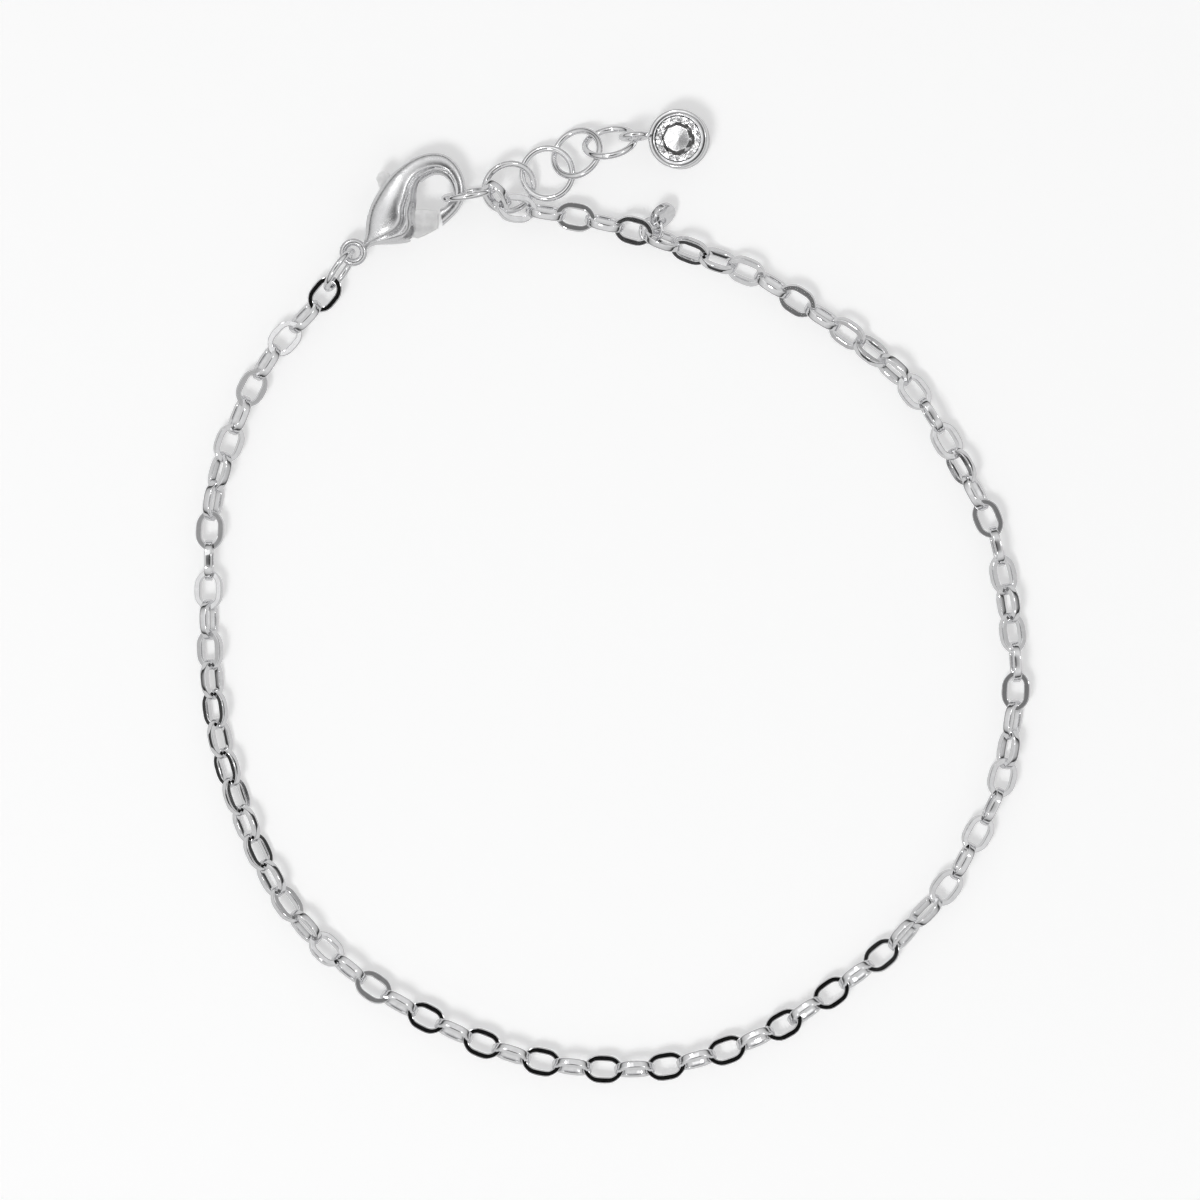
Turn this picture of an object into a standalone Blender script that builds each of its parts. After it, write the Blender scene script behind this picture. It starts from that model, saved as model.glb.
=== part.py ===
import math

import bpy
import bmesh
from mathutils import Euler, Matrix, Vector

MM = 0.001

# Width of the loop that the chain lies in
LOOP_ACROSS = 53.75 * MM

# Chain links: flat-faced oval cable links
LINK_LENGTH = 2.74 * MM
LINK_WIDTH = 1.90 * MM
LINK_WIRE = 0.42 * MM
LINK_THICK = 0.50 * MM
LINK_FLAT = 0.24 * MM
LINK_SOLDER = 0.06 * MM
HALVES_SLACK = 0.18 * MM
LINK_LEAN = 24.0
LEAN_FADE = 22.0

# Jump rings of the tail and the extender
RING_OUTER = 3.80 * MM
RING_WIRE = 0.44 * MM
TAIL_RING_OUTER = 3.40 * MM

# Lobster clasp
CLASP_SIZE = 10.0 * MM
CLASP_THICK = 2.80 * MM
CLASP_REST = 0.05 * MM
CLASP_EYE_RADIUS = 0.68 * MM
CLASP_EYE_WIRE = 0.50 * MM
LEVER_THICK = 1.00 * MM
LEVER_CLEARANCE = 0.08 * MM
PIN_RADIUS = 0.30 * MM
LEVER_SWING = 30.0

# Bezel drop and its stone
STONE_DIAMETER = 3.00 * MM
STONE_CROWN = 0.42 * MM
STONE_GIRDLE = 0.10 * MM
STONE_PAVILION = 0.95 * MM
STONE_TABLE = 1.75 * MM
BEZEL_WALL = 0.42 * MM
BEZEL_FLOOR = 0.35 * MM
BEZEL_LIP = 0.12 * MM
BEZEL_EDGE = 0.12 * MM
SEAT_CLEARANCE = 0.06 * MM
LOOP_OUTER = 2.12 * MM
LOOP_WIRE = 0.40 * MM
LOOP_RISE = 0.86 * MM
LOOP_SINK = 0.4
LOOP_TURN = 7.6
LOOP_TILT = 84.5

# Round tag and its ring
TAG_DIAMETER = 1.90 * MM
TAG_THICK = 0.45 * MM
TAG_HOLE = 0.70 * MM
TAG_EDGE = 0.20 * MM
TAG_RING_OUTER = 1.90 * MM
TAG_RING_WIRE = 0.28 * MM

# Route of the chain as it lies: x, y and height in millimetres, twist in degrees
CHAIN_ROUTE = [
    (-18.55, 20.85, 1.05, 0),
    (-20.5, 18.5, 0.95, 0),
    (-22.1, 16.95, 0.95, 0),
    (-24.1, 13.8, 0.95, 5),
    (-25.6, 10.1, 0.95, 15),
    (-26.3, 7.9, 0.95, 40),
    (-26.65, 6.2, 0.95, 65),
    (-26.85, 4.2, 0.95, 88),
    (-26.9, 0.4, 0.95, 80),
    (-26.9, -1.7, 0.95, 62),
    (-26.7, -5.6, 0.9, 52),
    (-26.2, -9.4, 0.9, 48),
    (-25.1, -13.3, 0.9, 46),
    (-23.7, -16.9, 0.9, 44),
    (-21.8, -20.4, 0.9, 40),
    (-19.1, -23.5, 0.9, 25),
    (-15.9, -26.1, 0.95, 8),
    (-12.4, -28.1, 0.95, 0),
    (-8.7, -29.8, 0.95, 0),
    (-4.9, -31.0, 0.95, 0),
    (-0.8, -31.5, 0.95, 0),
    (3.4, -31.35, 0.95, 0),
    (7.4, -30.3, 0.95, 0),
    (11.3, -28.6, 0.95, 0),
    (14.7, -26.3, 0.95, 0),
    (18.2, -23.7, 0.95, 8),
    (19.6, -22.2, 0.95, 35),
    (20.95, -20.8, 0.95, 65),
    (22.3, -19.4, 0.95, 85),
    (23.3, -17.6, 0.95, 72),
    (25.3, -13.9, 0.95, 80),
    (25.95, -12.1, 0.95, 82),
    (26.3, -10.1, 0.95, 55),
    (26.65, -8.2, 0.95, 25),
    (26.85, -6.3, 0.95, 4),
    (26.8, -4.3, 0.95, -12),
    (26.6, -2.5, 0.93, -36),
    (26.0, 1.4, 0.93, -34),
    (25.5, 3.3, 0.965, -10),
    (25.0, 5.2, 0.95, 4),
    (23.2, 8.6, 0.95, 45),
    (22.2, 10.3, 0.95, 70),
    (21.2, 12.0, 0.95, 85),
    (20.1, 13.6, 0.95, 78),
    (18.8, 15.0, 0.95, 55),
    (15.6, 17.5, 0.9, 38),
    (12.2, 19.7, 0.95, 12),
    (10.6, 20.75, 0.95, 14),
    (9.0, 21.65, 0.95, 30),
    (7.0, 22.3, 0.95, 46),
    (5.1, 23.0, 1.0, 44),
    (2.2, 24.1, 1.08, 20),
    (-0.9, 24.9, 1.0, -6),
    (-3.5, 25.4, 1.0, -2),
    (-5.47, 25.7, 1.2, -2),
    (-7.39, 25.86, 1.66, -16),
    (-8.11, 27.23, 2.9, -60),
]

# How far the links are drawn out along the chain: share of the way round, share of the pitch
CHAIN_DRAW = [
    (0.00, 1.009),
    (0.26, 1.009),
    (0.34, 1.034),
    (0.42, 1.060),
    (0.60, 1.060),
    (0.64, 0.989),
    (0.77, 0.989),
    (0.80, 1.005),
    (0.90, 1.008),
    (0.93, 1.012),
    (1.00, 1.012),
]

# Round rings: x, y and height of the centre in millimetres, heading, pitch and roll in degrees
# The tail ring's x and y count from the clasp's eye
TAIL_RING_PLACE = (-0.89, -1.20, 1.68, 55.7, -0.7, 79.8)
RING_PLACES = {
    "hook_ring": (-9.55, 26.72, 1.89, 10.3, 2.4, 97.2),
    "extender_ring_1": (-6.91, 27.20, 1.02, 13.8, 9.8, 26.6),
    "extender_ring_2": (-4.37, 28.13, 0.99, 34.3, -3.1, -7.8),
    "extender_ring_3": (-2.41, 29.45, 1.25, 30.2, -12.3, -33.5),
    "extender_ring_4": (-0.21, 30.14, 1.62, 11.2, -1.5, -56.6),
}

# Width that the route is laid out for, and the rows at each end over which it eases to the hook
LAID_LOOP = 53.75
LOOP_EASE = 8

# Radii of the rings' centre lines that the places are laid out for, in millimetres
LAID_RING = 1.68
LAID_TAIL_RING = 1.48

# Where the hook ring bears: on the ground in millimetres, and in the clasp as shares of CLASP_SIZE
HOOK_HOLD = (-11.20, 26.42)
CLASP_HOLD = (0.400, 0.189)

# The chain's rows that follow the tail ring at one end and the hook ring at the other
TAIL_FOLLOW = (1.0, 0.8, 0.5, 0.2)
HOOK_FOLLOW = (0.2, 0.5, 0.8, 1.0)

# Centre of the drop's loop from the last extender ring, in millimetres, and the drop's angles
DROP_HOLD = (1.632, 0.416)
DROP_FACING = (-3.0, -8.0)

# The tag and its ring, in the frame of the link that carries them, counted from the chain's end
TAG_LINK = 7
TAG_PLACE = (0.5415, 0.8768, -1.2521, 131.716, -11.559, 91.308)
TAG_RING_PLACE = (0.8719, 0.6122, -0.0626, 1.108, -50.243, 127.028)

# Clasp sections from neck to tip: outer and inner side and half thickness
# Sides are shares of CLASP_SIZE from the pivot, thickness a share of CLASP_THICK
CLASP_SECTIONS = [
    dict(outer=(-0.147, -0.120), inner=(-0.113, -0.147), thick=0.12),
    dict(outer=(-0.130, -0.067), inner=(-0.060, -0.120), thick=0.26),
    dict(outer=(-0.123, 0.027), inner=(0.073, -0.113), thick=0.40),
    dict(outer=(-0.107, 0.113), inner=(0.180, -0.093), thick=0.47),
    dict(outer=(-0.080, 0.177), inner=(0.223, -0.027), thick=0.50),
    dict(outer=(-0.043, 0.240), inner=(0.210, 0.060), thick=0.49),
    dict(outer=(0.000, 0.300), inner=(0.223, 0.147), thick=0.46),
    dict(outer=(0.053, 0.360), inner=(0.223, 0.220), thick=0.42),
    dict(outer=(0.113, 0.410), inner=(0.237, 0.277), thick=0.36),
    dict(outer=(0.180, 0.453), inner=(0.267, 0.313), thick=0.31),
    dict(outer=(0.253, 0.483), inner=(0.307, 0.337), thick=0.27),
    dict(outer=(0.333, 0.495), inner=(0.347, 0.347), thick=0.245),
    dict(outer=(0.413, 0.477), inner=(0.387, 0.340), thick=0.225),
    dict(outer=(0.480, 0.420), inner=(0.423, 0.313), thick=0.215),
    dict(outer=(0.527, 0.333), inner=(0.447, 0.267), thick=0.21),
    dict(outer=(0.540, 0.227), inner=(0.455, 0.213), thick=0.21),
    dict(outer=(0.507, 0.133), inner=(0.427, 0.167), thick=0.205),
    dict(outer=(0.450, 0.063), inner=(0.397, 0.137), thick=0.20),
    dict(outer=(0.370, -0.007), inner=(0.370, 0.127), thick=0.19),
]
CLASP_EYE = (-0.207, -0.167)
LAID_EYE = (-17.27, 22.86)

# Lever outline from the pivot, shares of CLASP_SIZE
LEVER_OUTLINE = [
    (0.040, -0.043),
    (0.087, -0.037),
    (0.153, -0.057),
    (0.220, -0.073),
    (0.260, -0.059),
    (0.300, -0.039),
    (0.333, -0.021),
    (0.358, -0.005),
    (0.358, 0.090),
    (0.340, 0.111),
    (0.267, 0.115),
    (0.190, 0.113),
    (0.180, 0.080),
    (0.100, 0.047),
    (0.029, 0.050),
    (0.023, 0.147),
    (0.031, 0.253),
    (0.047, 0.320),
    (0.034, 0.355),
    (-0.003, 0.373),
    (-0.040, 0.355),
    (-0.054, 0.320),
    (-0.040, 0.285),
    (-0.030, 0.253),
    (-0.026, 0.147),
    (-0.040, 0.050),
    (-0.060, 0.000),
    (-0.045, -0.040),
    (0.000, -0.058),
]

# Slot that the lever swings in: from angle, to angle, reach as a share of CLASP_SIZE
SLOT_HUB = 0.090
SLOT_SECTORS = [
    (-27.0, 34.0 + LEVER_SWING, 0.387),
    (69.0, 115.0 + LEVER_SWING, 0.500),
]


def clear_scene():
    for obj in list(bpy.data.objects):
        bpy.data.objects.remove(obj, do_unlink=True)


def make_collection(name, hidden=False):
    col = bpy.data.collections.new(name)
    bpy.context.scene.collection.children.link(col)
    col.hide_render = hidden
    return col


def make_material(name, colour, roughness, metallic, transmission=0.0):
    mat = bpy.data.materials.new(name)
    mat.use_nodes = True
    shader = mat.node_tree.nodes["Principled BSDF"]
    shader.inputs["Base Color"].default_value = (*colour, 1.0)
    shader.inputs["Roughness"].default_value = roughness
    shader.inputs["Metallic"].default_value = metallic
    shader.inputs["Transmission Weight"].default_value = transmission
    mat.diffuse_color = (*colour, 1.0)
    return mat


def add_object(name, mesh, mat=None, col=None):
    mesh.name = name
    obj = bpy.data.objects.new(name, mesh)
    (col or PART_COLLECTION).objects.link(obj)
    if mat:
        mesh.materials.clear()
        mesh.materials.append(mat)
    return obj


def shade(obj, angle=40.0):
    obj.data.shade_smooth()
    obj.data.set_sharp_from_angle(angle=math.radians(angle))


def curve_to_mesh(obj):
    bpy.context.view_layer.update()
    graph = bpy.context.evaluated_depsgraph_get()
    mesh = bpy.data.meshes.new_from_object(obj.evaluated_get(graph))
    bm = bmesh.new()
    bm.from_mesh(mesh)
    bmesh.ops.remove_doubles(bm, verts=bm.verts, dist=0.00001 * MM * 100)
    bmesh.ops.recalc_face_normals(bm, faces=bm.faces)
    bm.to_mesh(mesh)
    bm.free()
    mesh.transform(obj.matrix_world)
    bpy.data.objects.remove(obj, do_unlink=True)
    return mesh


def poly_curve(name, loops, dimensions="2D"):
    curve = bpy.data.curves.new(name, "CURVE")
    curve.dimensions = dimensions
    for points in loops:
        spline = curve.splines.new("POLY")
        spline.points.add(len(points) - 1)
        for point, place in zip(spline.points, points):
            point.co = (place[0], place[1], 0.0, 1.0)
        spline.use_cyclic_u = True
    obj = bpy.data.objects.new(name, curve)
    CUTTER_COLLECTION.objects.link(obj)
    return obj


def plate_mesh(name, loops, thickness):
    obj = poly_curve(name, loops)
    obj.data.fill_mode = "BOTH"
    obj.data.extrude = thickness / 2
    return curve_to_mesh(obj)


def circle_points(radius, count, centre=(0.0, 0.0)):
    return [
        (
            centre[0] + radius * math.cos(2 * math.pi * i / count),
            centre[1] + radius * math.sin(2 * math.pi * i / count),
        )
        for i in range(count)
    ]


def boolean(obj, other, operation):
    mod = obj.modifiers.new(operation.lower(), "BOOLEAN")
    mod.operation = operation
    mod.solver = "EXACT"
    mod.object = other
    bpy.context.view_layer.update()
    graph = bpy.context.evaluated_depsgraph_get()
    mesh = bpy.data.meshes.new_from_object(obj.evaluated_get(graph))
    obj.modifiers.remove(mod)
    mesh.name = obj.data.name
    obj.data = mesh
    bpy.data.objects.remove(other, do_unlink=True)


def torus_mesh(radius, wire_radius, around, sides):
    bpy.ops.mesh.primitive_torus_add(
        major_radius=radius,
        minor_radius=wire_radius,
        major_segments=around,
        minor_segments=sides,
    )
    obj = bpy.context.object
    mesh = obj.data.copy()
    bpy.data.objects.remove(obj, do_unlink=True)
    return mesh


def facing(heading, pitch, roll):
    turn = Euler((math.radians(roll), math.radians(pitch), math.radians(heading)), "XYZ")
    return turn.to_matrix().to_4x4()


def placed(place):
    x, y, z, heading, pitch, roll = place
    return Matrix.Translation(Vector((x, y, z)) * MM) @ facing(heading, pitch, roll)


# Places that follow the clasp's and the rings' own sizes
def clasp_pivot():
    return Vector(HOOK_HOLD) * MM - Vector(CLASP_HOLD) * CLASP_SIZE


def ring_radius(outer):
    return (outer - RING_WIRE) / 2


def ring_growth():
    return ring_radius(RING_OUTER) / (LAID_RING * MM)


def tail_growth():
    return ring_radius(TAIL_RING_OUTER) / (LAID_TAIL_RING * MM)


def from_hold(x, y, z):
    hold = Vector((*HOOK_HOLD, 0.0))
    return hold + (Vector((x, y, z)) - hold) * ring_growth()


def eye_place():
    return (clasp_pivot() + Vector(CLASP_EYE) * CLASP_SIZE) / MM


def ring_place(name):
    if name == "tail_ring":
        x, y, z = TAIL_RING_PLACE[:3]
        eye, growth = eye_place(), tail_growth()
        return (eye.x + x * growth, eye.y + y * growth, z * growth, *TAIL_RING_PLACE[3:])
    return (*from_hold(*RING_PLACES[name][:3]), *RING_PLACES[name][3:])


def chain_route():
    rows = [list(row) for row in CHAIN_ROUTE]
    spread = LOOP_ACROSS / (LAID_LOOP * MM) - 1.0
    for index, row in enumerate(rows):
        share = min(1.0, index / LOOP_EASE, (len(rows) - 1 - index) / LOOP_EASE)
        row[0] += (row[0] - HOOK_HOLD[0]) * spread * share
        row[1] += (row[1] - HOOK_HOLD[1]) * spread * share
    tail = Vector(ring_place("tail_ring")[:2]) - Vector(LAID_EYE) - Vector(TAIL_RING_PLACE[:2])
    for row, share in zip(rows, TAIL_FOLLOW):
        row[0] += tail.x * share
        row[1] += tail.y * share
    for row, share in zip(rows[-len(HOOK_FOLLOW):], HOOK_FOLLOW):
        held = Vector(row[:3]).lerp(from_hold(*row[:3]), share)
        row[:3] = held
    return rows


# One link: an oval of ten sections with flat polished faces
def link_mesh():
    a = (LINK_LENGTH - LINK_WIRE) / 2
    b = (LINK_WIDTH - LINK_WIRE) / 2
    quarter = [(1.0, 0.0), (0.82, 0.70), (0.36, 1.0)]
    upper = [(a * x, b * y) for x, y in quarter]
    upper += [(-x, y) for x, y in reversed(upper)]
    lower = [(x, -y) for x, y in reversed(upper[1:-1])]
    path = poly_curve("link_path", [upper + lower], "3D")
    path.data.twist_mode = "Z_UP"
    hw, ht, hf = LINK_WIRE / 2, LINK_THICK / 2, LINK_FLAT / 2
    section = [(hw, 0.0), (hf, ht), (-hf, ht), (-hw, 0.0), (-hf, -ht), (hf, -ht)]
    profile = poly_curve("link_section", [section])
    path.data.bevel_mode = "OBJECT"
    path.data.bevel_object = profile
    mesh = curve_to_mesh(path)
    bpy.data.objects.remove(profile, do_unlink=True)
    return mesh


# A smooth line through the route's points, with the twist of each place
def smooth_route():
    rows = [Vector((x * MM, y * MM, z * MM, twist)) for x, y, z, twist in chain_route()]
    rows = [rows[0] * 2 - rows[1]] + rows + [rows[-1] * 2 - rows[-2]]
    line = []
    for p0, p1, p2, p3 in zip(rows, rows[1:], rows[2:], rows[3:]):
        for step in range(12):
            t = step / 12
            line.append(
                0.5
                * (
                    2 * p1
                    + (p2 - p0) * t
                    + (2 * p0 - 5 * p1 + 4 * p2 - p3) * t * t
                    + (3 * p1 - p0 - 3 * p2 + p3) * t * t * t
                )
            )
    line.append(rows[-2])
    return line


# The next place on the line that lies one chord away from a place
def next_place(line, start, index, chord):
    here = start.xyz
    while index < len(line) - 1:
        a, b = line[index], line[index + 1]
        if (b.xyz - here).length >= chord:
            low, high = 0.0, 1.0
            if (a.xyz - here).length < chord:
                for _ in range(30):
                    mid = (low + high) / 2
                    if (a.lerp(b, mid).xyz - here).length < chord:
                        low = mid
                    else:
                        high = mid
                return a.lerp(b, high), index
        index += 1
    overshoot = chord - (line[-1].xyz - here).length
    end = line[-1].copy()
    step = (line[-1] - line[-2]).xyz.normalized() * overshoot
    return Vector((end.x + step.x, end.y + step.y, end.z + step.z, end.w)), index


# Share of the pitch that the links are drawn out to, a share of the way round
def drawn(way):
    for (before, low), (after, high) in zip(CHAIN_DRAW, CHAIN_DRAW[1:]):
        if way <= after:
            return low + (high - low) * (way - before) / (after - before)
    return CHAIN_DRAW[-1][1]


# Contact points between links, one pitch apart, with the two halves meeting at the split
def walk_chain(line, count, split, pitch):
    place, index = line[0], 0
    spans = []
    for k in range(count):
        chord = pitch * drawn((k + 0.5) / count)
        if k == split:
            back = (line[index].xyz - place.xyz).normalized()
            shift = back * (chord - LINK_LENGTH + 2 * LINK_WIRE + HALVES_SLACK)
            if back.dot((place.xyz - spans[-1][0].xyz)) > 0:
                shift = -shift
            place = Vector((place.x + shift.x, place.y + shift.y, place.z + shift.z, place.w))
        ahead, index = next_place(line, place, index, chord)
        spans.append((place, ahead))
        place = ahead
    return spans, (place.xyz - line[-1].xyz).length * (1 if index >= len(line) - 1 else -1)


# An even number of links, so that the last always stands the same way up in its ring
def chain_spans():
    line = smooth_route()
    length = sum((b.xyz - a.xyz).length for a, b in zip(line, line[1:]))
    nominal = LINK_LENGTH - 2 * LINK_WIRE + LINK_SOLDER
    steps = 100
    mean = sum(drawn((k + 0.5) / steps) for k in range(steps)) / steps
    count = 2 * round(length / (nominal * mean) / 2)
    split = count // 2
    low, high = nominal * 0.96, nominal * 1.04
    for _ in range(40):
        pitch = (low + high) / 2
        spans, over = walk_chain(line, count, split, pitch)
        if over > 0:
            high = pitch
        else:
            low = pitch
    print("chain", count, "links, pitch", round(pitch / MM, 4), "nominal", round(nominal / MM, 4))
    return spans, split


# Where the even links lie flat, the odd ones between them tip over from standing upright
def link_matrix(span, number):
    start, end = span
    along = (end.xyz - start.xyz).normalized()
    up = (Vector((0, 0, 1)) - along * along.z).normalized()
    side = up.cross(along)
    twist = (start.w + end.w) / 2
    upright = 90.0 + LINK_LEAN * max(0.0, 1.0 - abs(twist) / LEAN_FADE)
    turn = math.radians(twist + (upright if number % 2 else 0.0))
    face = up * math.cos(turn) + side * math.sin(turn)
    across = face.cross(along)
    frame = Matrix((along, across, face)).transposed().to_4x4()
    return Matrix.Translation((start.xyz + end.xyz) / 2) @ frame


def build_chain(metal):
    link = link_mesh()
    spans, split = chain_spans()
    numbered = list(enumerate(spans))
    halves = (("chain_left", numbered[:split]), ("chain_right", numbered[split:]))
    for name, part in halves:
        sets = []
        for parity in (0, 1):
            bm = bmesh.new()
            for number, span in part:
                if number % 2 == parity:
                    copy = link.copy()
                    copy.transform(link_matrix(span, number))
                    bm.from_mesh(copy)
                    bpy.data.meshes.remove(copy)
            mesh = bpy.data.meshes.new(name)
            bm.to_mesh(mesh)
            bm.free()
            sets.append(mesh)
        chain = add_object(name, sets[0], metal)
        other = add_object(name + "_other", sets[1], metal, CUTTER_COLLECTION)
        boolean(chain, other, "UNION")
        shade(chain, 50.0)


def build_rings(metal):
    for name in ("tail_ring", *RING_PLACES):
        outer = TAIL_RING_OUTER if name == "tail_ring" else RING_OUTER
        mesh = torus_mesh(ring_radius(outer), RING_WIRE / 2, 16, 6)
        ring = add_object(name, mesh, metal)
        ring.matrix_world = placed(ring_place(name))
        shade(ring, 60.0)


# Clasp body: a loft through its sections, with the eye joined on and the slot cut
def clasp_loft():
    bm = bmesh.new()
    sides = 12
    rings = []
    for row in CLASP_SECTIONS:
        outer = Vector((*row["outer"], 0.0)) * CLASP_SIZE
        inner = Vector((*row["inner"], 0.0)) * CLASP_SIZE
        middle, half = (outer + inner) / 2, (outer - inner) / 2
        depth = Vector((0, 0, row["thick"] * CLASP_THICK))
        ring = []
        for i in range(sides):
            angle = 2 * math.pi * i / sides
            c, s = math.cos(angle), math.sin(angle)
            c = math.copysign(abs(c) ** 0.8, c)
            s = math.copysign(abs(s) ** 0.8, s)
            ring.append(bm.verts.new(middle + half * c + depth * s))
        rings.append(ring)
    for a, b in zip(rings, rings[1:]):
        for i in range(sides):
            j = (i + 1) % sides
            bm.faces.new((a[i], a[j], b[j], b[i]))
    bm.faces.new(rings[0])
    bm.faces.new(list(reversed(rings[-1])))
    bmesh.ops.recalc_face_normals(bm, faces=bm.faces)
    mesh = bpy.data.meshes.new("clasp_body")
    bm.to_mesh(mesh)
    bm.free()
    return mesh


def slot_outline():
    points = []
    hub = SLOT_HUB * CLASP_SIZE
    turn = SLOT_SECTORS[0][0]
    for start, end, reach in SLOT_SECTORS:
        while turn < start:
            points.append((hub, turn))
            turn += 12.0
        count = max(2, round((end - start) / 13.0))
        points.append((hub, start))
        points += [(reach * CLASP_SIZE, start + (end - start) * i / count) for i in range(count + 1)]
        points.append((hub, end))
        turn = end + 12.0
    while turn < SLOT_SECTORS[0][0] + 360.0 - 6.0:
        points.append((hub, turn))
        turn += 16.0
    return [(r * math.cos(math.radians(t)), r * math.sin(math.radians(t))) for r, t in points]


def build_clasp(metal):
    middle_height = CLASP_THICK / 2 + CLASP_REST
    pivot = Vector((*clasp_pivot(), middle_height))
    body = add_object("clasp_body", clasp_loft(), metal)
    eye = torus_mesh(CLASP_EYE_RADIUS, CLASP_EYE_WIRE / 2, 16, 8)
    eye.transform(Matrix.Translation(Vector((*CLASP_EYE, 0.0)) * CLASP_SIZE))
    boolean(body, add_object("clasp_eye", eye, metal, CUTTER_COLLECTION), "UNION")
    slot = plate_mesh(
        "clasp_slot",
        [slot_outline(), circle_points(PIN_RADIUS, 12)],
        LEVER_THICK + 2 * LEVER_CLEARANCE,
    )
    boolean(body, add_object("clasp_slot", slot, None, CUTTER_COLLECTION), "DIFFERENCE")
    body.location = pivot
    shade(body, 45.0)
    outline = [(x * CLASP_SIZE, y * CLASP_SIZE) for x, y in LEVER_OUTLINE]
    hole = circle_points(PIN_RADIUS + LEVER_CLEARANCE, 12)
    lever = add_object("clasp_lever", plate_mesh("clasp_lever", [outline, hole], LEVER_THICK), metal)
    lever.location = pivot
    shade(lever, 40.0)


# Bezel drop: a cup turned about its axis, with a wire loop soldered to its side
def build_drop(metal, crystal):
    seat = STONE_DIAMETER / 2 + SEAT_CLEARANCE
    radius = seat + BEZEL_WALL
    depth = STONE_PAVILION + STONE_GIRDLE + BEZEL_LIP
    height = BEZEL_FLOOR + SEAT_CLEARANCE + depth
    profile = [(0.0, height / 2 - depth - SEAT_CLEARANCE)]
    profile += [(seat * 0.45, height / 2 - depth - SEAT_CLEARANCE)]
    profile += [(seat, height / 2 - STONE_GIRDLE - BEZEL_LIP - SEAT_CLEARANCE)]
    profile += [(seat, height / 2 - 0.02 * MM), (seat + BEZEL_WALL * 0.35, height / 2)]
    profile += [(radius - 0.08 * MM, height / 2), (radius, height / 2 - 0.1 * MM)]
    profile += [(radius, -height / 2 + BEZEL_EDGE), (radius - BEZEL_EDGE, -height / 2)]
    profile += [(0.0, -height / 2)]
    bm = bmesh.new()
    verts = [bm.verts.new((r, 0.0, z)) for r, z in profile]
    edges = [bm.edges.new(pair) for pair in zip(verts, verts[1:])]
    bmesh.ops.spin(
        bm,
        geom=verts + edges,
        cent=(0, 0, 0),
        axis=(0, 0, 1),
        angle=2 * math.pi,
        steps=24,
        use_merge=True,
    )
    bmesh.ops.remove_doubles(bm, verts=bm.verts, dist=0.001 * MM)
    bmesh.ops.recalc_face_normals(bm, faces=bm.faces)
    mesh = bpy.data.meshes.new("bezel_drop")
    bm.to_mesh(mesh)
    bm.free()
    drop = add_object("bezel_drop", mesh, metal)
    loop = torus_mesh((LOOP_OUTER - LOOP_WIRE) / 2, LOOP_WIRE / 2, 16, 6)
    loop_reach = -radius - LOOP_OUTER / 2 + LOOP_WIRE * LOOP_SINK
    loop.transform(
        Matrix.Translation((loop_reach, 0, LOOP_RISE))
        @ Matrix.Rotation(math.radians(LOOP_TURN), 4, "Z")
        @ Matrix.Rotation(math.radians(LOOP_TILT), 4, "X")
    )
    boolean(drop, add_object("bezel_loop", loop, metal, CUTTER_COLLECTION), "UNION")
    heading, lean = DROP_FACING
    turned = facing(heading, lean, 0.0)
    tilt = math.radians(abs(lean))
    rest = (radius - BEZEL_EDGE) * math.sin(tilt) + height / 2 * math.cos(tilt)
    hold = Vector(ring_place("extender_ring_4")[:2]) + Vector(DROP_HOLD) * ring_growth()
    centre = Vector((*hold, 0.0)) * MM - turned @ Vector((loop_reach, 0.0, LOOP_RISE))
    drop.matrix_world = Matrix.Translation((centre.x, centre.y, rest)) @ turned
    shade(drop, 40.0)

    # Round brilliant: table, crown and pavilion facets as the hull of their corners
    girdle = STONE_DIAMETER / 2
    corners = [(STONE_TABLE / 2, STONE_CROWN, 8, 0.0)]
    corners += [(girdle * 0.84, STONE_CROWN * 0.50, 8, 22.5)]
    corners += [(girdle, 0.0, 16, 0.0), (girdle, -STONE_GIRDLE, 16, 0.0)]
    bm = bmesh.new()
    for r, z, count, offset in corners:
        for i in range(count):
            angle = 2 * math.pi * i / count + math.radians(offset)
            bm.verts.new((r * math.cos(angle), r * math.sin(angle), z))
    bm.verts.new((0.0, 0.0, -STONE_GIRDLE - STONE_PAVILION * 0.92))
    bmesh.ops.convex_hull(bm, input=bm.verts)
    bmesh.ops.recalc_face_normals(bm, faces=bm.faces)
    mesh = bpy.data.meshes.new("stone")
    bm.to_mesh(mesh)
    bm.free()
    stone = add_object("stone", mesh, crystal)
    stone.matrix_world = drop.matrix_world @ Matrix.Translation((0, 0, height / 2 - BEZEL_LIP))


def build_tag(metal):
    spans, split = chain_spans()
    number = len(spans) - TAG_LINK
    number -= 1 - number % 2
    carrier = link_matrix(spans[number], number)
    hole_place = (0.0, TAG_DIAMETER / 2 - TAG_HOLE / 2 - TAG_EDGE)
    loops = [circle_points(TAG_DIAMETER / 2, 16), circle_points(TAG_HOLE / 2, 8, hole_place)]
    tag = add_object("tag", plate_mesh("tag", loops, TAG_THICK), metal)
    tag.matrix_world = carrier @ placed(TAG_PLACE)
    shade(tag, 40.0)
    mesh = torus_mesh((TAG_RING_OUTER - TAG_RING_WIRE) / 2, TAG_RING_WIRE / 2, 14, 6)
    ring = add_object("tag_ring", mesh, metal)
    ring.matrix_world = carrier @ placed(TAG_RING_PLACE)
    shade(ring, 60.0)


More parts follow.
